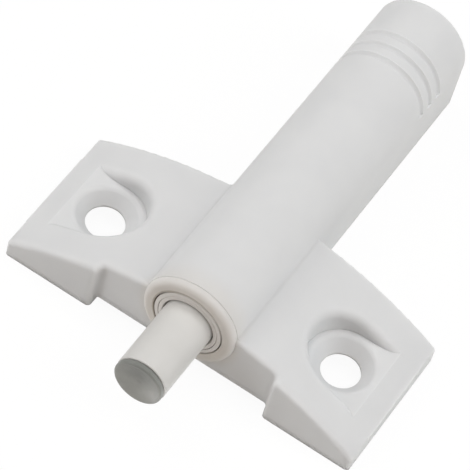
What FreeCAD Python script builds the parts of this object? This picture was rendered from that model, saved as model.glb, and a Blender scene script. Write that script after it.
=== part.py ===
import FreeCAD, Part
import math
import os
import re

import Sketcher
from FreeCAD import Vector

# A soft-close damper for a cabinet door, in its screw-on mount. The origin lies on the mounting
# plane, midway between the two screw holes. +Z points out of that plane, the barrel runs along Y
# and the plunger points to -Y. Millimetres, and degrees for the two angles.

doc = FreeCAD.newDocument("door_damper")

SIZES = {
    # the wings: one arch that slopes down to a thin tip on each side
    "wing_span": 53.8,
    "wing_depth": 22.1,
    "wing_arch_height": 10.05,
    "wing_tip_height": 2.63,
    "wing_edge_round": 0.6,
    "wing_rear_round": 0.25,
    "wing_corner_round": 0.5,
    # the front of the wings steps back and up between the two feet
    "foot_gap": 27.0,
    "front_step": 1.3,
    "front_notch_height": 1.25,
    # the cored underside of the wings
    "wall": 1.9,
    "tip_wall": 2.0,
    "boss_wall": 1.5,
    "boss_base_height": 2.3,
    # the two screw pockets
    "screw_spacing": 37.2,
    "screw_hole_diameter": 5.5,
    "countersink_diameter": 9.0,
    "countersink_angle": 90.0,
    "countersink_round": 1.1,
    "screw_pocket_diameter": 10.7,
    "screw_pocket_floor_height": 4.3,
    "screw_pocket_round": 1.3,
    # the barrel: half-round top on upright sides
    "barrel_wall": 1.85,
    "barrel_axis_height": 8.1,
    "barrel_reach": 51.05,
    "barrel_end_wall": 2.5,
    "barrel_end_round": 0.45,
    "barrel_blend": 0.5,
    # the round lip at the mouth of the barrel
    "lip_reach": 10.4,
    "lip_length": 1.08,
    "lip_step": 0.07,
    "lip_round": 0.85,
    "lip_crease": 0.04,
    # the three grip grooves near the closed end
    "groove_pitch": 2.35,
    "groove_from_end": 7.9,
    "groove_width": 1.1,
    "groove_depth": 0.34,
    "groove_angle": 169.0,
    # the damper's outer sleeve and the ring in its mouth
    "sleeve_fit": 0.1,
    "bore_lead_in": 0.1,
    "bore_lead_depth": 0.5,
    "sleeve_edge": 0.16,
    "sleeve_wall": 0.75,
    "sleeve_floor": 1.5,
    "sleeve_mouth_wall": 0.55,
    "rod_socket_wall": 1.0,
    "rod_socket_depth": 3.0,
    "guide_ring_length": 6.0,
    "guide_ring_wall": 0.745,
    "guide_ring_edge": 0.1,
    "guide_fit": 0.08,
    "guide_lead_in": 0.28,
    "guide_lead_depth": 0.5,
    # the plunger: a tube with a stop flange, closed at its front
    "plunger_reach": 22.24,
    "plunger_diameter": 7.27,
    "plunger_wall": 0.74,
    "plunger_end_wall": 0.8,
    "plunger_edge": 0.12,
    "travel": 10.0,
    "stop_gap": 0.05,
    "flange_length": 1.5,
    "flange_fit": 0.1,
    # the soft bumper on the plunger
    "bumper_thickness": 0.85,
    "bumper_inset": 0.07,
    "bumper_round": 0.3,
    "bumper_rim_width": 0.35,
    "bumper_dish": 0.5,
    "bumper_neck_length": 0.2,
    "bumper_neck_depth": 0.3,
    "bumper_stem_diameter": 3.2,
    "bumper_stem_length": 2.6,
    # the rod and what it carries inside the oil chamber
    "rod_diameter": 2.0,
    "rod_fit": 0.06,
    "rod_nose_room": 2.5,
    "rivet_diameter": 1.9,
    "rivet_length": 0.6,
    "spigot_diameter": 1.2,
    "valve_diameter": 4.4,
    "valve_thickness": 0.4,
    "valve_play": 0.05,
    "piston_length": 3.3,
    "piston_fit": 0.08,
    "piston_ring_width": 1.0,
    "piston_ring_depth": 0.45,
    "bleed_diameter": 0.6,
    "bleed_circle": 3.0,
    # the rear end of the oil chamber, from the foam back to the spring's seat
    "piston_gap": 1.2,
    "foam_length": 4.8,
    "foam_play": 0.3,
    "gland_wall": 0.59,
    "rod_guide_length": 3.0,
    "seal_thickness": 2.2,
    "seal_notch": 1.1,
    "plug_depth": 4.2,
    "plug_head": 1.2,
    # clearance between pieces that are pressed or stacked together
    "seat_fit": 0.04,
    # the return spring
    "spring_wire": 0.6,
    "spring_play": 0.7,
    "spring_turns": 12.0,
}

sheet = doc.addObject("Spreadsheet::Sheet", "dim")
for row, (alias, size) in enumerate(SIZES.items(), start=1):
    sheet.set(f"A{row}", alias)
    sheet.set(f"B{row}", str(size))
    sheet.setAlias(f"B{row}", alias)
doc.recompute()

# Radii and heights that several pieces share, as expressions of the sizes above.
HALF_SPAN = "(wing_span / 2)"
FRONT = "(-wing_depth / 2)"
REAR = "(wing_depth / 2)"
STEP_FRONT = f"({FRONT} + front_step)"
ARCH_SAG = "(wing_arch_height - wing_tip_height)"
ARCH_R = f"(({HALF_SPAN} ^ 2 + {ARCH_SAG} ^ 2) / (2 * {ARCH_SAG}))"
ARCH_Z = f"(wing_arch_height - {ARCH_R})"
PLUNGER_R = "(plunger_diameter / 2)"
RING_BORE_R = f"({PLUNGER_R} + guide_fit)"
RING_R = f"({RING_BORE_R} + guide_ring_wall)"
MOUTH_R = f"({RING_R} + seat_fit)"
SLEEVE_R = f"({MOUTH_R} + sleeve_mouth_wall)"
SLEEVE_BORE_R = f"({SLEEVE_R} - sleeve_wall)"
BORE_R = f"({SLEEVE_R} + sleeve_fit)"
BARREL_R = f"({BORE_R} + barrel_wall)"
FLANGE_R = f"({SLEEVE_BORE_R} - flange_fit)"
CHAMBER_R = f"({PLUNGER_R} - plunger_wall)"
GLAND_R = f"({PLUNGER_R} - gland_wall)"
GLAND_PIECE_R = f"({GLAND_R} - seat_fit)"
ROD_R = "(rod_diameter / 2)"
ROD_HOLE_R = f"({ROD_R} + rod_fit)"
SPIGOT_R = "(spigot_diameter / 2)"
SPIGOT_HOLE_R = f"({SPIGOT_R} + seat_fit)"

# Places along the barrel's axis, in Y.
MOUTH = "(-lip_reach)"
CREASE = "(-lip_reach + lip_length)"
BORE_FLOOR = "(barrel_reach - barrel_end_wall)"
SLEEVE_FLOOR = f"({BORE_FLOOR} - sleeve_floor)"
RING_SEAT = f"({MOUTH} + guide_ring_length)"
FLANGE_FRONT = f"({RING_SEAT} + stop_gap)"
TIP = "(-plunger_reach)"
TUBE_FRONT = f"({TIP} + bumper_thickness)"
SOCKET_FLOOR = f"({TUBE_FRONT} + bumper_stem_length + seat_fit)"
CHAMBER_FRONT = f"({SOCKET_FLOOR} + plunger_end_wall)"
ROD_NOSE = f"({CHAMBER_FRONT} + travel + rod_nose_room)"
RIVET_SEAT = f"({ROD_NOSE} + rivet_length)"
VALVE_FRONT = f"({RIVET_SEAT} + valve_play)"
VALVE_REAR = f"({VALVE_FRONT} + valve_thickness)"
PISTON_FRONT = f"({VALVE_REAR} + valve_play)"
PISTON_REAR = f"({PISTON_FRONT} + piston_length)"
FOAM_FRONT = f"({PISTON_REAR} + piston_gap)"
GLAND_SHOULDER = f"({FOAM_FRONT} + foam_length)"
ROD_GUIDE_REAR = f"({GLAND_SHOULDER} + rod_guide_length)"
SEAL_FRONT = f"({ROD_GUIDE_REAR} + seat_fit)"
SEAL_REAR = f"({SEAL_FRONT} + seal_thickness)"
PLUG_FRONT = f"({SEAL_REAR} + seat_fit)"
TUBE_REAR = f"({PLUG_FRONT} + plug_depth)"
PLUG_REAR = f"({TUBE_REAR} + plug_head)"

# How far a cut runs past the face that it starts from.
CUT_PAST = "wall"

# How many grip grooves the barrel has, and how many bleed holes the piston.
GROOVE_COUNT = 3
BLEED_COUNT = 4

# Two places closer than this are the same.
SAME_PLACE = 1e-4


def bound(text):
    """The expression with each size named as a cell of the sheet."""
    return re.sub(r"[a-z_]+", lambda word: f"dim.{word[0]}" if word[0] in SIZES else word[0], text)


def value(text):
    """What an expression of the sizes comes to now."""
    return float(sheet.evalExpression(text))


def bind(target, prop, text):
    target.setExpression(prop, bound(text))


def new_body(label):
    body = doc.addObject("PartDesign::Body", label)
    body.Label = label
    return body


def origin_feature(body, role):
    return next(item for item in body.Origin.OriginFeatures if item.Role == role)


def new_sketch(body, name, plane, lift=None):
    """A sketch on one of the body's origin planes, or lifted along that plane's normal."""
    sketch = body.newObject("Sketcher::SketchObject", name)
    sketch.AttachmentSupport = [(origin_feature(body, plane), "")]
    sketch.MapMode = "FlatFace"
    if lift:
        bind(sketch, "AttachmentOffset.Base.z", lift)
    return sketch


def fix(sketch, geometry, point, axis, text):
    """Dimension one coordinate of a sketch point from the sketch's origin."""
    if text == "0":
        zero_axis = -2 if axis == "X" else -1
        sketch.addConstraint(Sketcher.Constraint("PointOnObject", geometry, point, zero_axis))
        return
    rule = Sketcher.Constraint(f"Distance{axis}", geometry, point, value(text))
    bind(sketch, f"Constraints[{sketch.addConstraint(rule)}]", text)


def add_outline(sketch, corners):
    """Draw a closed outline. A corner is (x, y), or (x, y, centre_x, centre_y, turn) where the
    stretch to the next corner is an arc round that centre, turn being +1 for anticlockwise."""
    spots = [Vector(value(corner[0]), value(corner[1]), 0) for corner in corners]
    stretches = []
    for index, corner in enumerate(corners):
        start, end = spots[index], spots[(index + 1) % len(spots)]
        if len(corner) == 2:
            stretches.append((sketch.addGeometry(Part.LineSegment(start, end)), 1, 2))
            continue
        centre = Vector(value(corner[2]), value(corner[3]), 0)
        first, last = (start, end) if corner[4] > 0 else (end, start)
        first_angle = math.atan2(first.y - centre.y, first.x - centre.x)
        last_angle = math.atan2(last.y - centre.y, last.x - centre.x)
        sweep = (last_angle - first_angle) % (2 * math.pi)
        circle = Part.Circle(centre, Vector(0, 0, 1), (start - centre).Length)
        arc = sketch.addGeometry(Part.ArcOfCircle(circle, first_angle, first_angle + sweep))
        stretches.append((arc, 1, 2) if corner[4] > 0 else (arc, 2, 1))
    for index, corner in enumerate(corners):
        geometry, start_point, end_point = stretches[index]
        following = stretches[(index + 1) % len(stretches)]
        joint = Sketcher.Constraint("Coincident", geometry, end_point, following[0], following[1])
        sketch.addConstraint(joint)
        fix(sketch, geometry, start_point, "X", corner[0])
        fix(sketch, geometry, start_point, "Y", corner[1])
        if len(corner) == 5:
            # one coordinate settles the centre: the one across the line between the two ends
            start, end = spots[index], spots[(index + 1) % len(spots)]
            across = "X" if abs(end.y - start.y) > abs(end.x - start.x) else "Y"
            fix(sketch, geometry, 3, across, corner[2] if across == "X" else corner[3])


def add_circle(sketch, x, y, radius):
    centre = Vector(value(x), value(y), 0)
    circle = sketch.addGeometry(Part.Circle(centre, Vector(0, 0, 1), value(radius)))
    fix(sketch, circle, 3, "X", x)
    fix(sketch, circle, 3, "Y", y)
    rule = sketch.addConstraint(Sketcher.Constraint("Radius", circle, value(radius)))
    bind(sketch, f"Constraints[{rule}]", radius)


def sketch_of(body, name, plane, outlines, lift=None):
    """A sketch that holds one or more closed outlines."""
    sketch = new_sketch(body, name, plane, lift)
    for corners in outlines:
        add_outline(sketch, corners)
    return sketch


def extrude(body, kind, name, sketch, length=None, turned_round=False):
    """Pad or pocket a sketch, through everything where no length is given."""
    feature = body.newObject(f"PartDesign::{kind}", name)
    feature.Profile = sketch
    feature.Reversed = turned_round
    if length is None:
        feature.Type = "ThroughAll"
    else:
        bind(feature, "Length", length)
    return feature


def round_edges(body, name, base, radius, chosen):
    """Fillet the edges of the base feature whose middle point passes the test."""
    doc.recompute()
    fillet = body.newObject("PartDesign::Fillet", name)
    names = [
        f"Edge{number}"
        for number, edge in enumerate(base.Shape.Edges, start=1)
        if chosen(edge.valueAt((edge.FirstParameter + edge.LastParameter) / 2))
    ]
    fillet.Base = (base, names)
    bind(fillet, "Radius", radius)
    return fillet


def turned(label, corners):
    """A piece of revolution about the barrel's axis, from its (radius, y) outline."""
    body = new_body(label)
    sketch = sketch_of(body, f"{label}_profile", "XY_Plane", [corners])
    revolution = body.newObject("PartDesign::Revolution", f"{label}_turned")
    revolution.Profile = sketch
    revolution.ReferenceAxis = (sketch, ["V_Axis"])
    revolution.Angle = 360
    bind(body, "Placement.Base.z", "barrel_axis_height")
    return body


def add_barrel_axis(sketch):
    """The barrel's axis, as a construction line in an upright sketch along the barrel."""
    places = (MOUTH, "barrel_reach")
    ends = [Vector(value(place), value("barrel_axis_height"), 0) for place in places]
    line = sketch.addGeometry(Part.LineSegment(*ends), True)
    for point, place in enumerate(places, start=1):
        fix(sketch, line, point, "X", place)
        fix(sketch, line, point, "Y", "barrel_axis_height")


def near(number, target):
    return abs(number - target) < SAME_PLACE


def screw_slot(side, radius):
    """U outline round a screw: half-round towards the barrel, open past the wing's tip."""
    centre = f"({side} * screw_spacing / 2)"
    open_end = f"({side} * ({HALF_SPAN} + {CUT_PAST}))"
    return [
        (centre, f"(-{radius})"),
        (open_end, f"(-{radius})"),
        (open_end, radius),
        (centre, radius, centre, "0", side),
    ]


def rectangle(left, right, low, high):
    return [(left, low), (right, low), (right, high), (left, high)]


# The housing moulding: the arched wings first.
shell = new_body("housing_shell")
wing_outline = [
    (f"(-{HALF_SPAN})", "0"),
    (HALF_SPAN, "0"),
    (HALF_SPAN, "wing_tip_height", "0", ARCH_Z, 1),
    (f"(-{HALF_SPAN})", "wing_tip_height"),
]
wing_sketch = sketch_of(shell, "wing_arch", "XZ_Plane", [wing_outline], f"-{REAR}")
wings = extrude(shell, "Pad", "wings", wing_sketch, "wing_depth")

# The front face steps back between the feet, with a soft S-bend at each side.
BEND_R = "(front_step / 2)"
STEP_X = "(foot_gap / 2)"
bend_y = f"({FRONT} + {BEND_R})"
foot_x = f"({STEP_X} + {BEND_R})"
inner_x = f"({STEP_X} - {BEND_R})"
step_outline = [
    (foot_x, f"({FRONT} - {CUT_PAST})"),
    (foot_x, FRONT, foot_x, bend_y, -1),
    (STEP_X, bend_y, inner_x, bend_y, 1),
    (inner_x, STEP_FRONT),
    (f"(-{inner_x})", STEP_FRONT, f"(-{inner_x})", bend_y, 1),
    (f"(-{STEP_X})", bend_y, f"(-{foot_x})", bend_y, -1),
    (f"(-{foot_x})", FRONT),
    (f"(-{foot_x})", f"({FRONT} - {CUT_PAST})"),
]
step_sketch = sketch_of(shell, "front_step_outline", "XY_Plane", [step_outline])
front_step = extrude(shell, "Pocket", "front_step_cut", step_sketch, turned_round=True)

half_span = value(HALF_SPAN)
front = value(FRONT)
arch_r = value(ARCH_R)
arch_z = value(ARCH_Z)
wing_corners = round_edges(
    shell,
    "wing_corners",
    front_step,
    "wing_corner_round",
    lambda mid: near(abs(mid.x), half_span) and near(mid.y, front) and not near(mid.z, 0),
)
step_front = value(STEP_FRONT)
rear = value(REAR)


def on_arch(mid):
    """Whether a point lies on the arch's upper surface."""
    return near(math.hypot(mid.x, mid.z - arch_z), arch_r)


wing_edges = round_edges(
    shell,
    "wing_edges",
    wing_corners,
    f"min(wing_edge_round; 0.95 * {BEND_R})",
    lambda mid: on_arch(mid) and mid.y < step_front + SAME_PLACE,
)
round_edges(
    shell,
    "wing_rear_edges",
    wing_edges,
    "wing_rear_round",
    lambda mid: on_arch(mid) and near(mid.y, rear),
)

# The barrel, half-round on upright sides that reach down to the mounting plane.
barrel_outline = [
    (f"(-{BARREL_R})", "0"),
    (BARREL_R, "0"),
    (BARREL_R, "barrel_axis_height", "0", "barrel_axis_height", 1),
    (f"(-{BARREL_R})", "barrel_axis_height"),
]
barrel_sketch = sketch_of(shell, "barrel_section", "XZ_Plane", [barrel_outline], f"-{CREASE}")
barrel = extrude(
    shell, "Pad", "barrel", barrel_sketch, f"barrel_reach - {CREASE}", turned_round=True
)
barrel_reach = value("barrel_reach")
round_edges(
    shell,
    "barrel_end",
    barrel,
    "barrel_end_round",
    lambda mid: near(mid.y, barrel_reach) and not near(mid.z, 0),
)

# A small concave blend where each wing runs into the barrel.
to_barrel = f"({BARREL_R} + barrel_blend)"
to_arch = f"({ARCH_R} + barrel_blend)"
blend_z = (
    f"(({to_arch} ^ 2 - {to_barrel} ^ 2 + barrel_axis_height ^ 2 - {ARCH_Z} ^ 2)"
    f" / (2 * (barrel_axis_height - {ARCH_Z})))"
)
blend_x = f"sqrt({to_barrel} ^ 2 - ({blend_z} - barrel_axis_height) ^ 2)"
on_barrel_x = f"({blend_x} * {BARREL_R} / {to_barrel})"
on_barrel_z = f"(barrel_axis_height + ({blend_z} - barrel_axis_height) * {BARREL_R} / {to_barrel})"
on_arch_x = f"({blend_x} * {ARCH_R} / {to_arch})"
on_arch_z = f"({ARCH_Z} + ({blend_z} - {ARCH_Z}) * {ARCH_R} / {to_arch})"


def blend_outline(side):
    return [
        (f"({side} * {on_barrel_x})", on_barrel_z, f"({side} * {blend_x})", blend_z, side),
        (f"({side} * {on_arch_x})", on_arch_z),
        (f"({side} * ({on_barrel_x} - barrel_blend))", f"({on_arch_z} - barrel_blend)"),
    ]


for side, name in ((1, "right"), (-1, "left")):
    blend_sketch = sketch_of(
        shell, f"{name}_blend_section", "XZ_Plane", [blend_outline(side)], f"-{REAR}"
    )
    extrude(shell, "Pad", f"{name}_blend", blend_sketch, f"{REAR} - {CREASE}")

# Between the feet the front wall stands clear of the mounting plane.
NOTCH_BACK = f"({STEP_FRONT} + wall)"
notch_outline = rectangle(f"(-{STEP_X})", STEP_X, f"({FRONT} - {CUT_PAST})", NOTCH_BACK)
notch_sketch = sketch_of(shell, "front_notch_outline", "XY_Plane", [notch_outline])
extrude(shell, "Pocket", "front_notch", notch_sketch, "front_notch_height", turned_round=True)

# The round lip in front of the barrel, a hair smaller, so that a crease shows behind it.
lip_top = f"(barrel_axis_height + {BARREL_R} - lip_step)"
lip_rim_y = f"({MOUTH} + lip_round)"
lip_rim_z = f"({lip_top} - lip_round)"
lip_outline = [
    (CREASE, "barrel_axis_height"),
    (CREASE, f"({lip_top} - lip_crease)"),
    (f"({CREASE} - lip_crease)", lip_top),
    (lip_rim_y, lip_top, lip_rim_y, lip_rim_z, 1),
    (MOUTH, lip_rim_z),
    (MOUTH, "barrel_axis_height"),
]
lip_sketch = sketch_of(shell, "lip_section", "YZ_Plane", [lip_outline])
add_barrel_axis(lip_sketch)
lip = shell.newObject("PartDesign::Revolution", "lip")
lip.Profile = lip_sketch
lip.ReferenceAxis = (lip_sketch, ["Axis0"])
lip.Angle = 360

# The screw pockets, open towards the wing tips. The slots go right through first, so that their rims
# can be rounded all the way, and then get their floors.
POCKET_R = "(screw_pocket_diameter / 2)"
slot_sketch = sketch_of(
    shell, "screw_slot_outline", "XY_Plane", [screw_slot(1, POCKET_R), screw_slot(-1, POCKET_R)]
)
slots = extrude(shell, "Pocket", "screw_slots", slot_sketch, turned_round=True)
pocket_r = value(POCKET_R)
slot_end = value(f"screw_spacing / 2 - {POCKET_R}")


def on_slot_rim(mid):
    """Whether the middle of an edge lies on the arch, along one of the two slots."""
    along_slot = abs(mid.x) > slot_end - SAME_PLACE and abs(mid.y) < pocket_r + SAME_PLACE
    return on_arch(mid) and along_slot


round_edges(shell, "screw_slot_rims", slots, "screw_pocket_round", on_slot_rim)
FLOOR_IN = f"(screw_spacing / 2 - {POCKET_R} - screw_pocket_round)"
FLOOR_SIDE = f"({POCKET_R} + screw_pocket_round)"
RUN_OUT = f"sqrt({ARCH_R} ^ 2 - (screw_pocket_floor_height - {ARCH_Z}) ^ 2)"


def pocket_floor(side):
    """Section of a pocket's floor, level until it runs out through the arch."""
    return [
        (f"({side} * {FLOOR_IN})", "0"),
        (f"({side} * {HALF_SPAN})", "0"),
        (f"({side} * {HALF_SPAN})", "wing_tip_height", "0", ARCH_Z, side),
        (f"({side} * {RUN_OUT})", "screw_pocket_floor_height"),
        (f"({side} * {FLOOR_IN})", "screw_pocket_floor_height"),
    ]


floor_sketch = sketch_of(
    shell, "pocket_floor_section", "XZ_Plane", [pocket_floor(1), pocket_floor(-1)], f"-{FLOOR_SIDE}"
)
extrude(shell, "Pad", "pocket_floors", floor_sketch, f"2 * {FLOOR_SIDE}")

# The countersunk holes in the floors, with a soft rim.
hole_sketch = new_sketch(shell, "screw_places", "XY_Plane", "screw_pocket_floor_height")
for side in (1, -1):
    add_circle(hole_sketch, f"({side} * screw_spacing / 2)", "0", "(screw_hole_diameter / 2)")
doc.recompute()
holes = shell.newObject("PartDesign::Hole", "screw_holes")
holes.Profile = hole_sketch
holes.DepthType = "ThroughAll"
holes.HoleCutType = "Countersink"
bind(holes, "Diameter", "screw_hole_diameter")
bind(holes, "HoleCutDiameter", "countersink_diameter")
bind(holes, "HoleCutCountersinkAngle", "countersink_angle")
floor_height = value("screw_pocket_floor_height")
screw_x = value("screw_spacing / 2")
sink_r = value("countersink_diameter / 2")


def on_countersink_rim(mid):
    """Whether the middle of an edge lies on the upper rim of a countersink."""
    return near(mid.z, floor_height) and near(math.hypot(abs(mid.x) - screw_x, mid.y), sink_r)


round_edges(shell, "countersink_rims", holes, "countersink_round", on_countersink_rim)

# Three shallow grooves over the top of the barrel's closed end.
GROOVE_R = "((groove_width ^ 2 / 4 + groove_depth ^ 2) / (2 * groove_depth))"
groove_sketch = new_sketch(shell, "groove_section", "YZ_Plane")
groove_height = f"(barrel_axis_height + {BARREL_R} - groove_depth + {GROOVE_R})"
add_circle(groove_sketch, "(barrel_reach - groove_from_end)", groove_height, GROOVE_R)
add_barrel_axis(groove_sketch)
groove = shell.newObject("PartDesign::Groove", "grip_groove")
groove.Profile = groove_sketch
groove.ReferenceAxis = (groove_sketch, ["Axis0"])
groove.Midplane = True
bind(groove, "Angle", "groove_angle")
grooves = shell.newObject("PartDesign::LinearPattern", "grip_grooves")
grooves.Originals = [groove]
grooves.Direction = (origin_feature(shell, "Y_Axis"), [""])
grooves.Reversed = True
grooves.Occurrences = GROOVE_COUNT
bind(grooves, "Length", f"{GROOVE_COUNT - 1} * groove_pitch")
shell.Tip = grooves

# The blind bore that takes the damper, with a lead-in at its mouth.
bore_top = f"(barrel_axis_height + {BORE_R})"
bore_outline = [
    (MOUTH, "barrel_axis_height"),
    (BORE_FLOOR, "barrel_axis_height"),
    (BORE_FLOOR, bore_top),
    (f"({MOUTH} + bore_lead_depth)", bore_top),
    (MOUTH, f"({bore_top} + bore_lead_in)"),
]
bore_sketch = sketch_of(shell, "bore_section", "YZ_Plane", [bore_outline])
add_barrel_axis(bore_sketch)
bore = shell.newObject("PartDesign::Groove", "bore")
bore.Profile = bore_sketch
bore.ReferenceAxis = (bore_sketch, ["Axis0"])
bore.Angle = 360

# Under each wing the moulding is cored out to an even skin, round a boss for the screw.
core = new_body("right_wing_core")
CORE_R = f"({ARCH_R} - wall)"
CORE_IN = f"({BARREL_R} + barrel_blend)"
CORE_OUT = f"({HALF_SPAN} - tip_wall)"
CORE_REAR = f"({REAR} - wall)"
core_outline = [
    (CORE_IN, f"(-{CUT_PAST})"),
    (CORE_OUT, f"(-{CUT_PAST})"),
    (CORE_OUT, f"({ARCH_Z} + sqrt({CORE_R} ^ 2 - {CORE_OUT} ^ 2))", "0", ARCH_Z, 1),
    (CORE_IN, f"({ARCH_Z} + sqrt({CORE_R} ^ 2 - {CORE_IN} ^ 2))"),
]
core_sketch = sketch_of(core, "core_section", "XZ_Plane", [core_outline], f"-{CORE_REAR}")
extrude(core, "Pad", "core", core_sketch, f"{CORE_REAR} - {NOTCH_BACK}")
boss_sketch = sketch_of(
    core,
    "screw_boss_outline",
    "XY_Plane",
    [screw_slot(1, f"({POCKET_R} + boss_wall)")],
    "boss_base_height",
)
extrude(core, "Pocket", "screw_boss", boss_sketch, turned_round=True)
left_core = doc.addObject("Part::Mirroring", "left_wing_core")
left_core.Source = core
left_core.Normal = Vector(1, 0, 0)
half_cored = doc.addObject("Part::Cut", "housing_right_cored")
half_cored.Base = shell
half_cored.Tool = core
housing = doc.addObject("Part::Cut", "mount_housing")
housing.Label = "mount_housing"
housing.Base = half_cored
housing.Tool = left_core

# The damper's outer sleeve: closed at the rear, with a socket there for the rod, and a wider
# mouth for the guide ring.
socket_r = f"({ROD_HOLE_R} + rod_socket_wall)"
socket_front = f"({SLEEVE_FLOOR} - rod_socket_depth)"
edge_r = f"({SLEEVE_R} - sleeve_edge)"
edge_y = f"({MOUTH} + sleeve_edge)"
sleeve = turned(
    "damper_sleeve",
    [
        ("0", BORE_FLOOR),
        (SLEEVE_R, BORE_FLOOR),
        (SLEEVE_R, edge_y, edge_r, edge_y, -1),
        (edge_r, MOUTH),
        (MOUTH_R, MOUTH),
        (MOUTH_R, RING_SEAT),
        (SLEEVE_BORE_R, RING_SEAT),
        (SLEEVE_BORE_R, SLEEVE_FLOOR),
        (socket_r, SLEEVE_FLOOR),
        (socket_r, socket_front),
        (ROD_HOLE_R, socket_front),
        (ROD_HOLE_R, SLEEVE_FLOOR),
        ("0", SLEEVE_FLOOR),
    ],
)

# The guide ring in the sleeve's mouth, with a lead-in round the plunger.
guide_ring = turned(
    "guide_ring",
    [
        (f"({PLUNGER_R} + guide_lead_in)", MOUTH),
        (f"({RING_R} - guide_ring_edge)", MOUTH),
        (RING_R, f"({MOUTH} + guide_ring_edge)"),
        (RING_R, RING_SEAT),
        (RING_BORE_R, RING_SEAT),
        (RING_BORE_R, f"({MOUTH} + guide_lead_depth)"),
    ],
)

# The plunger tube: bumper socket, oil chamber, stop flange and a wider gland at the rear.
stem_hole_r = "(bumper_stem_diameter / 2 + seat_fit)"
flange_rear = f"({FLANGE_FRONT} + flange_length)"
plunger = turned(
    "plunger_tube",
    [
        ("0", SOCKET_FLOOR),
        (stem_hole_r, SOCKET_FLOOR),
        (stem_hole_r, TUBE_FRONT),
        (f"({PLUNGER_R} - plunger_edge)", TUBE_FRONT),
        (PLUNGER_R, f"({TUBE_FRONT} + plunger_edge)"),
        (PLUNGER_R, FLANGE_FRONT),
        (FLANGE_R, FLANGE_FRONT),
        (FLANGE_R, flange_rear),
        (PLUNGER_R, flange_rear),
        (PLUNGER_R, TUBE_REAR),
        (GLAND_R, TUBE_REAR),
        (GLAND_R, GLAND_SHOULDER),
        (CHAMBER_R, GLAND_SHOULDER),
        (CHAMBER_R, CHAMBER_FRONT),
        ("0", CHAMBER_FRONT),
    ],
)

# The bumper: a pad with a rounded rim, a cupped face and a narrow neck behind it, and a stem in the
# plunger's socket.
pad_r = f"({PLUNGER_R} - bumper_inset)"
rim_r = f"({pad_r} - bumper_round)"
rim_y = f"({TIP} + bumper_round)"
neck_r = f"({pad_r} - bumper_neck_depth)"
neck_y = f"({TUBE_FRONT} - bumper_neck_length)"
dish_r = f"({pad_r} - bumper_rim_width)"
dish_floor = f"({TIP} + bumper_dish)"
dish_curve = f"(({dish_r} ^ 2 + bumper_dish ^ 2) / (2 * bumper_dish))"
stem_r = "(bumper_stem_diameter / 2)"
stem_end = f"({TUBE_FRONT} + bumper_stem_length)"
bumper = turned(
    "bumper_tip",
    [
        ("0", dish_floor, "0", f"({dish_floor} - {dish_curve})", -1),
        (dish_r, TIP),
        (rim_r, TIP, rim_r, rim_y, 1),
        (pad_r, rim_y),
        (pad_r, neck_y),
        (neck_r, neck_y),
        (neck_r, TUBE_FRONT),
        (stem_r, TUBE_FRONT),
        (stem_r, stem_end),
        ("0", stem_end),
    ],
)

# The rod, shouldered for the piston and riveted over in front of the valve disc.
rivet_r = "(rivet_diameter / 2)"
rod = turned(
    "piston_rod",
    [
        ("0", ROD_NOSE),
        (rivet_r, ROD_NOSE),
        (rivet_r, RIVET_SEAT),
        (SPIGOT_R, RIVET_SEAT),
        (SPIGOT_R, PISTON_REAR),
        (ROD_R, PISTON_REAR),
        (ROD_R, SLEEVE_FLOOR),
        ("0", SLEEVE_FLOOR),
    ],
)

valve = turned(
    "valve_disc", rectangle(SPIGOT_HOLE_R, "(valve_diameter / 2)", VALVE_FRONT, VALVE_REAR)
)

# The piston, with a groove for its ring and four bleed holes along it.
piston_r = f"({CHAMBER_R} - piston_fit)"
piston_ring_r = f"({CHAMBER_R} - piston_fit / 2)"
piston_ring_bore_r = f"({piston_ring_r} - piston_ring_depth)"
groove_floor_r = f"({piston_ring_bore_r} - seat_fit)"
piston_middle = f"({PISTON_FRONT} + piston_length / 2)"
groove_front = f"({piston_middle} - piston_ring_width / 2 - seat_fit)"
groove_rear = f"({piston_middle} + piston_ring_width / 2 + seat_fit)"
piston = turned(
    "piston",
    [
        (SPIGOT_HOLE_R, PISTON_FRONT),
        (piston_r, PISTON_FRONT),
        (piston_r, groove_front),
        (groove_floor_r, groove_front),
        (groove_floor_r, groove_rear),
        (piston_r, groove_rear),
        (piston_r, PISTON_REAR),
        (SPIGOT_HOLE_R, PISTON_REAR),
    ],
)
bleed_sketch = new_sketch(piston, "bleed_hole_section", "XZ_Plane", f"-{PISTON_FRONT}")
add_circle(bleed_sketch, "(bleed_circle / 2)", "0", "(bleed_diameter / 2)")
bleed_hole = extrude(piston, "Pocket", "bleed_hole", bleed_sketch, "piston_length")
bleed_holes = piston.newObject("PartDesign::PolarPattern", "bleed_holes")
bleed_holes.Originals = [bleed_hole]
bleed_holes.Axis = (origin_feature(piston, "Y_Axis"), [""])
bleed_holes.Angle = 360
bleed_holes.Occurrences = BLEED_COUNT
piston.Tip = bleed_holes

piston_ring = turned(
    "piston_ring",
    rectangle(
        piston_ring_bore_r,
        piston_ring_r,
        f"({piston_middle} - piston_ring_width / 2)",
        f"({piston_middle} + piston_ring_width / 2)",
    ),
)

# The rear end of the oil chamber, from front to back: foam, rod guide, lip seal and end plug.
foam = turned(
    "foam_accumulator",
    rectangle(f"({ROD_R} + foam_play)", f"({CHAMBER_R} - seat_fit)", FOAM_FRONT, GLAND_SHOULDER),
)

rod_guide = turned(
    "rod_guide", rectangle(ROD_HOLE_R, GLAND_PIECE_R, GLAND_SHOULDER, ROD_GUIDE_REAR)
)

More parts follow.
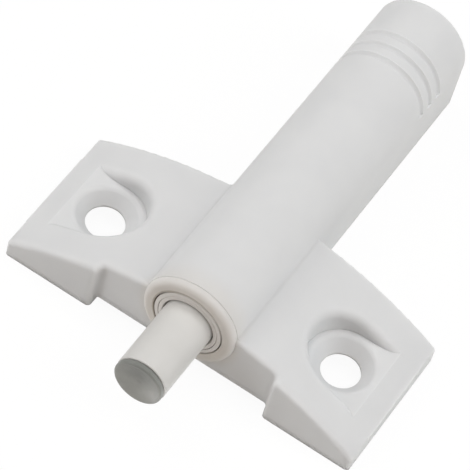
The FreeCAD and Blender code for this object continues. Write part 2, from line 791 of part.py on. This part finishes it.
seal_bore_r = f"({ROD_R} + seat_fit)"
seal_lip = f"(({GLAND_PIECE_R} - {seal_bore_r}) / 3)"
notch_in_r = f"({seal_bore_r} + {seal_lip})"
notch_out_r = f"({GLAND_PIECE_R} - {seal_lip})"
seal = turned(
    "rod_seal",
    [
        (seal_bore_r, SEAL_FRONT),
        (notch_in_r, SEAL_FRONT),
        (f"(({notch_in_r} + {notch_out_r}) / 2)", f"({SEAL_FRONT} + seal_notch)"),
        (notch_out_r, SEAL_FRONT),
        (GLAND_PIECE_R, SEAL_FRONT),
        (GLAND_PIECE_R, SEAL_REAR),
        (seal_bore_r, SEAL_REAR),
    ],
)

plug_head_r = f"({FLANGE_R} - flange_fit)"
plug = turned(
    "end_plug",
    [
        (ROD_HOLE_R, PLUG_FRONT),
        (GLAND_PIECE_R, PLUG_FRONT),
        (GLAND_PIECE_R, TUBE_REAR),
        (plug_head_r, TUBE_REAR),
        (plug_head_r, PLUG_REAR),
        (ROD_HOLE_R, PLUG_REAR),
    ],
)

# The return spring, a plain helix between the end plug and the sleeve's floor.
spring = new_body("return_spring")
wire_sketch = new_sketch(spring, "spring_wire_section", "XY_Plane")
spring_r = f"({SLEEVE_BORE_R} - spring_play - spring_wire / 2)"
wire_start = f"({PLUG_REAR} + spring_wire / 2 + seat_fit)"
add_circle(wire_sketch, spring_r, wire_start, "(spring_wire / 2)")
coil = spring.newObject("PartDesign::AdditiveHelix", "spring_coil")
coil.Profile = wire_sketch
coil.ReferenceAxis = (wire_sketch, ["V_Axis"])
coil.Mode = "height-turns-angle"
bind(coil, "Height", f"{SLEEVE_FLOOR} - {PLUG_REAR} - spring_wire - 2 * seat_fit")
bind(coil, "Turns", "spring_turns")
bind(spring, "Placement.Base.z", "barrel_axis_height")

doc.recompute()

for item in doc.Objects:
    if {"Invalid", "Error"} & set(item.State):
        raise RuntimeError(f"{item.Name} failed: {item.State}")
    if item.TypeId in ("PartDesign::Pocket", "PartDesign::Groove", "PartDesign::Hole"):
        if item.Shape.Volume >= item.BaseFeature.Shape.Volume:
            raise RuntimeError(f"{item.Name} cuts nothing")

NODES = [
    housing,
    sleeve,
    guide_ring,
    plunger,
    bumper,
    rod,
    piston,
    piston_ring,
    valve,
    foam,
    rod_guide,
    seal,
    plug,
    spring,
]

for node in NODES:
    if node.Shape.isNull() or not node.Shape.isValid() or len(node.Shape.Solids) != 1:
        raise RuntimeError(f"{node.Label} is not one sound solid")

os.makedirs("parts", exist_ok=True)
for node in NODES:
    node.Shape.exportStep(f"parts/{node.Label}.step")
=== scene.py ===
import math

import bmesh
import bpy
from mathutils import Matrix, Vector


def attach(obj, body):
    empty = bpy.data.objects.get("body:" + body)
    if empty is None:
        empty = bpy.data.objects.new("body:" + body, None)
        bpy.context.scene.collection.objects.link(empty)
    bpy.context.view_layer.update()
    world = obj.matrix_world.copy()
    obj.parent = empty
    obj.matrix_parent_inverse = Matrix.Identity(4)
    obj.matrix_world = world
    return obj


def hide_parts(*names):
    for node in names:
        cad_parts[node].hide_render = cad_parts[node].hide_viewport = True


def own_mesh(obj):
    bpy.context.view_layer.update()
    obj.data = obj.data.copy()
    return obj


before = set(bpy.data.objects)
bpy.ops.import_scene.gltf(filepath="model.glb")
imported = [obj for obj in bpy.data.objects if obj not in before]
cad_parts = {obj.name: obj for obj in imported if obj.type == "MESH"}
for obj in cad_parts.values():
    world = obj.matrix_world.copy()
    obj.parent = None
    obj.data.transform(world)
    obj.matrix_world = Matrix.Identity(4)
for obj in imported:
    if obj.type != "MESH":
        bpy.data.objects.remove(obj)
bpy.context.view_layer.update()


# Mount housing: the barrel, the two arched wings, the screw pockets and the lip in one moulding.
# White polypropylene from a finely eroded tool, matt all over, held by two countersunk screws.
# Its colour is warmer and darker round the mouth, and painted shade darkens the seam round the
# sleeve.
MM = 0.001
WHITE_PLASTIC = (0.683, 0.692, 0.700, 1.0)
WHITE_PLASTIC_SHADE = (0.658, 0.667, 0.677, 1.0)
MATT = (0.60, 0.72)
MATT_SHEEN = 0.3
PLAIN_SHEEN = 0.5
ERODED_GRAIN = 0.0030 * MM
GRAIN_PATCH = 0.12 * MM
SINK_DEPTH = 0.004 * MM
SINK_PATCH = 4 * MM
FLOW_PATCH = 6 * MM
GLOSS_PATCH = 1.5 * MM
SMOOTH_CLOUD = 2.0
RICH_CLOUD = 4.0
CLOUD_LOW = 0.3
CLOUD_HIGH = 0.7
LIGHT_REACH = 0.9 * MM
EVEN_REACH = (1.0, 1.0, 1.0)
MOUTH = (0.0, -10.4 * MM, 8.1 * MM)
WARM_DARK_TINT = (0.955, 0.902, 0.840, 1.0)
WARM_DARK_TINT_REACH = (5.5 * MM, 8.5 * MM)
SEAM = (-0.1 * MM, -10.4 * MM, 8.25 * MM)
PAINTED_GAP_SHADE = (0.62, 0.59, 0.55, 1.0)
PAINTED_GAP_SHADE_REACH = (5.15 * MM, 5.40 * MM)
SOFT_EDGE = 1.7 * MM
SOFT_EDGE_SAMPLES = 8
CLEAR_OF_MOUTH = (7.9 * MM, 8.6 * MM)
WING_FRONT = (-7.5 * MM, -8.5 * MM)


def shader_of(finish):
    """The surface shader of this material."""
    return finish.node_tree.nodes["Principled BSDF"]


def new_finish(name, roughness, specular=PLAIN_SHEEN, metallic=0.0):
    """A material with these plain shader values, still without its patterns."""
    finish = bpy.data.materials.new(name)
    finish.use_nodes = True
    shader = shader_of(finish)
    shader.inputs["Roughness"].default_value = roughness
    shader.inputs["Specular IOR Level"].default_value = specular
    shader.inputs["Metallic"].default_value = metallic
    return finish


def add_node(finish, kind, **values):
    """A node in this material with the given values on its inputs."""
    node = finish.node_tree.nodes.new(kind)
    for name, value in values.items():
        node.inputs[name.replace("_", " ")].default_value = value
    return node


def cloud(finish, size, detail=SMOOTH_CLOUD, stretch=(1.0, 1.0, 1.0)):
    """Soft noise with patches of this size in metres, drawn out along an axis by its stretch."""
    links = finish.node_tree.links
    place = add_node(finish, "ShaderNodeTexCoord")
    mapping = add_node(finish, "ShaderNodeMapping", Scale=[1 / s for s in stretch])
    noise = add_node(finish, "ShaderNodeTexNoise", Scale=1 / size, Detail=detail)
    links.new(place.outputs["Object"], mapping.inputs["Vector"])
    links.new(mapping.outputs["Vector"], noise.inputs["Vector"])
    return noise.outputs["Fac"]


def colour_mix(finish, blend):
    """A mix of two colours, as its factor, its two colour inputs and its result."""
    mix = add_node(finish, "ShaderNodeMix")
    mix.data_type = "RGBA"
    mix.blend_type = blend
    under, over = (socket for socket in mix.inputs if socket.type == "RGBA")
    result = next(socket for socket in mix.outputs if socket.type == "RGBA")
    return mix.inputs["Factor"], under, over, result


def tint(finish, pattern, low, high):
    """The base colour, between two shades by the pattern."""
    links = finish.node_tree.links
    factor, under, over, result = colour_mix(finish, "MIX")
    under.default_value = low
    over.default_value = high
    span = add_node(finish, "ShaderNodeMapRange", From_Min=CLOUD_LOW, From_Max=CLOUD_HIGH)
    links.new(pattern, span.inputs["Value"])
    links.new(span.outputs["Result"], factor)
    links.new(result, shader_of(finish).inputs["Base Color"])


def stain(finish, centre, reach, colour):
    """Tints the base colour round a place in metres, fully at the first distance of its reach and
    not at all at the second. Where the first is the larger, what lies further away is tinted."""
    links = finish.node_tree.links
    base = shader_of(finish).inputs["Base Color"]
    full, none = reach
    place = add_node(finish, "ShaderNodeTexCoord")
    distance = add_node(finish, "ShaderNodeVectorMath")
    distance.operation = "DISTANCE"
    distance.inputs[1].default_value = centre
    fade = add_node(
        finish, "ShaderNodeMapRange", From_Min=full, From_Max=none, To_Min=1.0, To_Max=0.0
    )
    fade.interpolation_type = "SMOOTHSTEP"
    factor, under, over, result = colour_mix(finish, "MULTIPLY")
    over.default_value = colour
    links.new(place.outputs["Object"], distance.inputs[0])
    links.new(distance.outputs["Value"], fade.inputs["Value"])
    links.new(fade.outputs["Result"], factor)
    links.new(base.links[0].from_socket, under)
    links.new(result, base)


def vary_gloss(finish, pattern, low, high):
    """The roughness, between two values by the pattern."""
    links = finish.node_tree.links
    span = add_node(
        finish,
        "ShaderNodeMapRange",
        From_Min=CLOUD_LOW,
        From_Max=CLOUD_HIGH,
        To_Min=low,
        To_Max=high,
    )
    links.new(pattern, span.inputs["Value"])
    links.new(span.outputs["Result"], shader_of(finish).inputs["Roughness"])


def emboss(finish, *layers):
    """Bump from (pattern, height in metres) layers, one on top of the other."""
    links = finish.node_tree.links
    under = None
    for pattern, height in layers:
        bump = add_node(finish, "ShaderNodeBump", Strength=1.0, Distance=height)
        links.new(pattern, bump.inputs["Height"])
        if under:
            links.new(under, bump.inputs["Normal"])
        under = bump.outputs["Normal"]
    links.new(under, shader_of(finish).inputs["Normal"])


def moulded(name, shade, colour, gloss, grain, spread, specular=PLAIN_SHEEN):
    """Injection moulded plastic: faint flow clouds, the tool's grain and a slight sink.
    Its spread is the share of light that goes about a millimetre under its skin."""
    finish = new_finish(name, sum(gloss) / 2, specular)
    shader = shader_of(finish)
    shader.inputs["Subsurface Weight"].default_value = spread
    shader.inputs["Subsurface Radius"].default_value = EVEN_REACH
    shader.inputs["Subsurface Scale"].default_value = LIGHT_REACH
    tint(finish, cloud(finish, FLOW_PATCH, RICH_CLOUD), shade, colour)
    vary_gloss(finish, cloud(finish, GLOSS_PATCH, RICH_CLOUD), *gloss)
    sink = cloud(finish, SINK_PATCH)
    emboss(finish, (sink, SINK_DEPTH), (cloud(finish, GRAIN_PATCH), grain))
    return finish


def dress(node, finish):
    """A CAD node gets this finish all over."""
    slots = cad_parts[node].data.materials
    slots.clear()
    slots.append(finish)


def soften_front(finish):
    """Softens the look of the edges along the front of the wings, clear of the barrel's mouth."""
    links = finish.node_tree.links
    near, far = CLEAR_OF_MOUTH
    behind, before = WING_FRONT
    place = add_node(finish, "ShaderNodeTexCoord")
    distance = add_node(finish, "ShaderNodeVectorMath")
    distance.operation = "DISTANCE"
    distance.inputs[1].default_value = MOUTH
    away = add_node(finish, "ShaderNodeMapRange", From_Min=near, From_Max=far)
    along = add_node(finish, "ShaderNodeSeparateXYZ")
    front = add_node(
        finish, "ShaderNodeMapRange", From_Min=behind, From_Max=before, To_Max=SOFT_EDGE
    )
    radius = add_node(finish, "ShaderNodeMath")
    radius.operation = "MULTIPLY"
    edge = add_node(finish, "ShaderNodeBevel")
    edge.samples = SOFT_EDGE_SAMPLES
    links.new(place.outputs["Object"], distance.inputs[0])
    links.new(distance.outputs["Value"], away.inputs["Value"])
    links.new(place.outputs["Object"], along.inputs["Vector"])
    links.new(along.outputs["Y"], front.inputs["Value"])
    links.new(away.outputs["Result"], radius.inputs[0])
    links.new(front.outputs["Result"], radius.inputs[1])
    links.new(radius.outputs[0], edge.inputs["Radius"])
    for node in finish.node_tree.nodes:
        if node.type == "BUMP" and not node.inputs["Normal"].is_linked:
            links.new(edge.outputs["Normal"], node.inputs["Normal"])


matt_white = moulded(
    "matt_white_moulding",
    WHITE_PLASTIC_SHADE,
    WHITE_PLASTIC,
    MATT,
    ERODED_GRAIN,
    spread=1.0,
    specular=MATT_SHEEN,
)
# Colour made warmer and darker round the mouth.
stain(matt_white, MOUTH, WARM_DARK_TINT_REACH, WARM_DARK_TINT)
# Painted shade: a dark ring on the lip's face round the sleeve, where the gap's shadow falls.
stain(matt_white, SEAM, PAINTED_GAP_SHADE_REACH, PAINTED_GAP_SHADE)
soften_front(matt_white)
dress("mount_housing", matt_white)


# Damper sleeve: the outer case of the push-in damper, pressed into the barrel's bore up to its lip.
# Off-white acetal from a smooth tool, so it is a little glossier than the housing.
OFF_WHITE = (0.665, 0.642, 0.618, 1.0)
OFF_WHITE_SHADE = (0.632, 0.608, 0.583, 1.0)
SMOOTH = (0.30, 0.42)
POLISHED_GRAIN = 0.0012 * MM
smooth_white = moulded(
    "smooth_white_moulding", OFF_WHITE_SHADE, OFF_WHITE, SMOOTH, POLISHED_GRAIN, spread=0.0
)
dress("damper_sleeve", smooth_white)


# Return spring: a compression spring that stands on the sleeve's floor and pushes the plunger out.
# Wound from drawn steel wire and left bright.
WIRE = (0.36, 0.36, 0.37, 1.0)
WIRE_SHADE = (0.24, 0.24, 0.25, 1.0)
DRAWN = (0.25, 0.42)
ALONG_WIRE = (4.0, 1.0, 4.0)
STEEL_PATCH = 1.2 * MM
STEEL_CLOUD = 3.0
MARK_WIDTH = 0.05 * MM
MARK_DEPTH = 0.0008 * MM
WELD = 0.0001 * MM
CUT_EDGE = math.radians(40)


def bright_steel(name, shade, colour, gloss, along):
    """Bright steel with drawing or grinding marks that run along one direction."""
    finish = new_finish(name, sum(gloss) / 2, metallic=1.0)
    marks = cloud(finish, MARK_WIDTH, STEEL_CLOUD, stretch=along)
    tint(finish, cloud(finish, STEEL_PATCH, STEEL_CLOUD), shade, colour)
    vary_gloss(finish, marks, *gloss)
    emboss(finish, (marks, MARK_DEPTH))
    return finish


drawn_wire = bright_steel("drawn_spring_wire", WIRE_SHADE, WIRE, DRAWN, ALONG_WIRE)
coils = bmesh.new()
coils.from_mesh(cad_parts["return_spring"].data)
bmesh.ops.remove_doubles(coils, verts=coils.verts, dist=WELD)
for face in coils.faces:
    face.smooth = True
wound_wire = bpy.data.meshes.new("return_spring_coils")
coils.to_mesh(wound_wire)
coils.free()
wound_wire.set_sharp_from_angle(angle=CUT_EDGE)
wound_wire.materials.clear()
wound_wire.materials.append(drawn_wire)
spring = bpy.data.objects.new("return_spring_coils", wound_wire)
bpy.context.scene.collection.objects.link(spring)

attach(spring, "mount")
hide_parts("return_spring")
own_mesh(spring)


# Piston rod: a thin steel rod that stands on the sleeve's floor and carries the piston in the oil.
# Centreless ground, with the marks running round it.
ROD = (0.50, 0.50, 0.51, 1.0)
ROD_SHADE = (0.40, 0.40, 0.41, 1.0)
GROUND = (0.16, 0.28)
ROUND_ROD = (6.0, 1.0, 6.0)
dress("piston_rod", bright_steel("ground_rod_steel", ROD_SHADE, ROD, GROUND, ROUND_ROD))


# Piston, valve disc and rod guide: small grey acetal mouldings that work inside the oil cylinder.
# The piston is snapped on the rod's front end, and the guide is pressed in behind the seal.
GREY_ACETAL = (0.075, 0.078, 0.083, 1.0)
GREY_ACETAL_SHADE = (0.062, 0.065, 0.070, 1.0)
ACETAL = (0.32, 0.44)
grey_acetal = moulded(
    "grey_acetal", GREY_ACETAL_SHADE, GREY_ACETAL, ACETAL, POLISHED_GRAIN, spread=0.0
)
for node in ("piston", "valve_disc", "rod_guide"):
    dress(node, grey_acetal)


# Piston ring and rod seal: black nitrile rubber rings, moulded and trimmed.
# The ring sits in the piston's groove, and the seal closes the cylinder round the rod.
NITRILE = (0.012, 0.012, 0.012, 1.0)
NITRILE_SHADE = (0.007, 0.007, 0.007, 1.0)
DULL = (0.45, 0.6)
NITRILE_PATCH = 1.0 * MM
NITRILE_GRAIN = 0.001 * MM
RUBBER_SHEEN = 0.35
RUBBER_CLOUD = 3.0
RUBBER_GLOSS_PATCH = 0.4 * MM
RUBBER_DIMPLE = 0.5 * MM
RUBBER_DIMPLE_DEPTH = 0.004 * MM
RUBBER_GRAIN_PATCH = 0.08 * MM


def soft_rubber(name, shade, colour, gloss, patch, grain):
    """Moulded rubber: cloudy colour, a dull skin and a fine grain."""
    finish = new_finish(name, sum(gloss) / 2, RUBBER_SHEEN)
    tint(finish, cloud(finish, patch, RUBBER_CLOUD), shade, colour)
    vary_gloss(finish, cloud(finish, RUBBER_GLOSS_PATCH, RUBBER_CLOUD), *gloss)
    dimples = cloud(finish, RUBBER_DIMPLE)
    emboss(finish, (dimples, RUBBER_DIMPLE_DEPTH), (cloud(finish, RUBBER_GRAIN_PATCH), grain))
    return finish


black_rubber = soft_rubber(
    "black_seal_rubber", NITRILE_SHADE, NITRILE, DULL, NITRILE_PATCH, NITRILE_GRAIN
)
for node in ("piston_ring", "rod_seal"):
    dress(node, black_rubber)


# Foam accumulator: a sleeve of closed-cell rubber that gives way to the oil the rod displaces.
# Cut from tube stock and slipped in behind the piston.
FOAM = (0.052, 0.052, 0.056, 1.0)
FOAM_SHADE = (0.022, 0.022, 0.024, 1.0)
FOAM_DULL = (0.78, 0.92)
FOAM_SHEEN = 0.2
FOAM_CELL = 0.25 * MM
FOAM_CELL_DEPTH = 0.03 * MM
CELL_CLOUD = 1.0
foam = new_finish("closed_cell_foam", sum(FOAM_DULL) / 2, FOAM_SHEEN)
foam_cells = cloud(foam, FOAM_CELL, CELL_CLOUD)
tint(foam, foam_cells, FOAM_SHADE, FOAM)
vary_gloss(foam, foam_cells, *FOAM_DULL)
emboss(foam, (foam_cells, FOAM_CELL_DEPTH))
dress("foam_accumulator", foam)


# Plunger tube and its end plug: the sliding tube is the oil cylinder too, and the plug closes it.
# Warm white acetal, moulded smooth, and wiped clean by the guide.
WARM_WHITE = (0.622, 0.618, 0.604, 1.0)
WARM_WHITE_SHADE = (0.595, 0.590, 0.575, 1.0)
warm_white = moulded(
    "warm_white_acetal", WARM_WHITE_SHADE, WARM_WHITE, ACETAL, POLISHED_GRAIN, spread=0.5
)
for node in ("plunger_tube", "end_plug"):
    dress(node, warm_white)


# Guide ring: the bush at the mouth of the sleeve that keeps the plunger on its axis.
# The same off-white acetal as the sleeve, snapped in against the sleeve's inner shoulder.
dress("guide_ring", smooth_white)


# Bumper tip: the soft grey pad that meets the door, with a thin rim and a cupped face.
# Thermoplastic rubber, plugged into the plunger's closed end. It is a little cloudy, with painted
# shade at the top and round the edge, and a painted highlight on its right side.
GREY_RUBBER = (0.345, 0.350, 0.335, 1.0)
GREY_RUBBER_SHADE = (0.290, 0.295, 0.280, 1.0)
SILKY = (0.36, 0.48)
BUMPER_PATCH = 2.0 * MM
BUMPER_GRAIN = 0.002 * MM
BUMPER_SHADE_PLACE = (-0.2 * MM, -21.6 * MM, 10.4 * MM)
BUMPER_PAINTED_SHADE = (0.62, 0.63, 0.62, 1.0)
BUMPER_PAINTED_SHADE_REACH = (0.4 * MM, 4.4 * MM)
BUMPER_HIGHLIGHT_PLACE = (2.8 * MM, -22.0 * MM, 7.8 * MM)
BUMPER_PAINTED_HIGHLIGHT = (1.36, 1.36, 1.39, 1.0)
BUMPER_PAINTED_HIGHLIGHT_REACH = (0.2 * MM, 3.6 * MM)
FACE_FRONT = (0.0, -22.6 * MM, 8.1 * MM)
BUMPER_PAINTED_EDGE_SHADE = (0.78, 0.79, 0.78, 1.0)
BUMPER_PAINTED_EDGE_SHADE_REACH = (3.60 * MM, 3.30 * MM)
grey_rubber = soft_rubber(
    "grey_bumper_rubber", GREY_RUBBER_SHADE, GREY_RUBBER, SILKY, BUMPER_PATCH, BUMPER_GRAIN
)
# Painted shade on the pad's top, next to the tube's end.
stain(grey_rubber, BUMPER_SHADE_PLACE, BUMPER_PAINTED_SHADE_REACH, BUMPER_PAINTED_SHADE)
# Painted highlight: the pad is lighter on its right side.
stain(grey_rubber, BUMPER_HIGHLIGHT_PLACE, BUMPER_PAINTED_HIGHLIGHT_REACH, BUMPER_PAINTED_HIGHLIGHT)
# Painted shade round the pad's rim and side.
stain(grey_rubber, FACE_FRONT, BUMPER_PAINTED_EDGE_SHADE_REACH, BUMPER_PAINTED_EDGE_SHADE)
dress("bumper_tip", grey_rubber)


# Floor: a wide sheet of pale paper that the part lies on.
# It reads white to the camera and keeps a faint shadow of the part.
FLOOR_SIZE = 6.0
FLOOR_DROP = 0.02 * MM
FLOOR_WHITE = (0.86, 0.85, 0.83, 1.0)
FLOOR_SHADOW_SHARE = 0.06
PURE_WHITE = (1.0, 1.0, 1.0, 1.0)
bpy.ops.mesh.primitive_plane_add(size=FLOOR_SIZE, location=(0.0, 0.0, -FLOOR_DROP))
floor = bpy.context.object
floor.name = "floor"

paper = bpy.data.materials.new("pale_floor")
paper.use_nodes = True
paper.node_tree.nodes.clear()


def seen_by_eye(tree):
    """1 for rays that come straight, or by a mirror or glass, from the camera, and else 0."""
    path = tree.nodes.new("ShaderNodeLightPath")
    seen = path.outputs["Is Camera Ray"]
    for ray in ("Is Glossy Ray", "Is Transmission Ray"):
        either = tree.nodes.new("ShaderNodeMath")
        either.operation = "MAXIMUM"
        tree.links.new(seen, either.inputs[0])
        tree.links.new(path.outputs[ray], either.inputs[1])
        seen = either.outputs[0]
    return seen


matt_paper = add_node(paper, "ShaderNodeBsdfDiffuse", Color=FLOOR_WHITE)
seen_paper = add_node(paper, "ShaderNodeBsdfDiffuse", Color=PURE_WHITE)
seen_glow = add_node(paper, "ShaderNodeEmission", Color=PURE_WHITE, Strength=1.0)
seen_mix = add_node(paper, "ShaderNodeMixShader", Fac=FLOOR_SHADOW_SHARE)
floor_mix = add_node(paper, "ShaderNodeMixShader")
floor_out = add_node(paper, "ShaderNodeOutputMaterial")
paper_links = paper.node_tree.links
paper_links.new(seen_glow.outputs[0], seen_mix.inputs[1])
paper_links.new(seen_paper.outputs[0], seen_mix.inputs[2])
paper_links.new(seen_by_eye(paper.node_tree), floor_mix.inputs["Fac"])
paper_links.new(matt_paper.outputs[0], floor_mix.inputs[1])
paper_links.new(seen_mix.outputs[0], floor_mix.inputs[2])
paper_links.new(floor_mix.outputs[0], floor_out.inputs["Surface"])
floor.data.materials.append(paper)


# Room: the pale walls round the table.
# They give a weak even light, and are white where the camera looks at them.
ROOM_LEVEL = 0.03
room = bpy.data.worlds.new("pale_room")
room.use_nodes = True
room.node_tree.nodes.clear()
room_light = add_node(room, "ShaderNodeBackground", Color=PURE_WHITE, Strength=ROOM_LEVEL)
room_seen = add_node(room, "ShaderNodeBackground", Color=PURE_WHITE)
room_mix = add_node(room, "ShaderNodeMixShader")
room_out = add_node(room, "ShaderNodeOutputWorld")
room_links = room.node_tree.links
room_links.new(seen_by_eye(room.node_tree), room_mix.inputs["Fac"])
room_links.new(room_light.outputs[0], room_mix.inputs[1])
room_links.new(room_seen.outputs[0], room_mix.inputs[2])
room_links.new(room_mix.outputs[0], room_out.inputs["Surface"])
bpy.context.scene.world = room


# Lamps: square soft boxes on stands, all turned to the part.
# One large box is overhead and one is high at each side, with weaker ones low at the right, in
# front and at the front left.
WARM = (1.0, 0.97, 0.93)
WARMEST = (1.0, 0.76, 0.58)
COOL = (0.94, 0.97, 1.0)
LARGE_BOX = 1.4
BOX = 1.0


def soft_box(name, place, size, level, colour):
    """A square soft box that faces the part, with this radiance and colour over its whole face."""
    lamp = bpy.data.lights.new(name, "AREA")
    lamp.shape = "SQUARE"
    lamp.size = size
    lamp.energy = level * math.pi * size * size
    lamp.color = colour
    box = bpy.data.objects.new(name, lamp)
    box.location = place
    box.rotation_euler = (-Vector(place)).to_track_quat("-Z", "Y").to_euler()
    bpy.context.scene.collection.objects.link(box)


soft_box("lamp_above", (0.0, 0.1, 1.4), LARGE_BOX, 1.55, COOL)
soft_box("lamp_left", (-1.1, 0.2, 1.1), BOX, 2.70, WARM)
soft_box("lamp_right", (1.1, 0.2, 1.1), BOX, 3.05, WARM)
soft_box("lamp_right_low", (1.5, 0.2, 0.5), BOX, 1.60, COOL)
soft_box("lamp_front", (0.0, -1.1, 1.1), BOX, 1.00, WARMEST)
soft_box("lamp_front_left", (-1.1, -1.1, 0.6), BOX, 2.15, COOL)


# Camera: a long lens above the plunger's end, a little to the right.
# It is rolled, so that the barrel runs up to the right as in the photograph.
CAMERA_PLACE = Vector((78.59, -239.96, 347.34)) * MM
CAMERA_AZIMUTH = math.radians(18.305)
CAMERA_ELEVATION = math.radians(52.69)
CAMERA_ROLL = math.radians(17.26)
LENS_MM = 248.92
SENSOR_MM = 36.0
NEAREST = 0.01
eye = bpy.data.cameras.new("camera")
eye.lens = LENS_MM
eye.sensor_width = SENSOR_MM
eye.clip_start = NEAREST
camera = bpy.data.objects.new("camera", eye)
turn = (
    Matrix.Rotation(CAMERA_AZIMUTH, 4, "Z")
    @ Matrix.Rotation(math.pi / 2 - CAMERA_ELEVATION, 4, "X")
    @ Matrix.Rotation(CAMERA_ROLL, 4, "Z")
)
camera.matrix_world = Matrix.Translation(CAMERA_PLACE) @ turn
bpy.context.scene.collection.objects.link(camera)
bpy.context.scene.camera = camera
bpy.context.scene.view_settings.view_transform = "Standard"
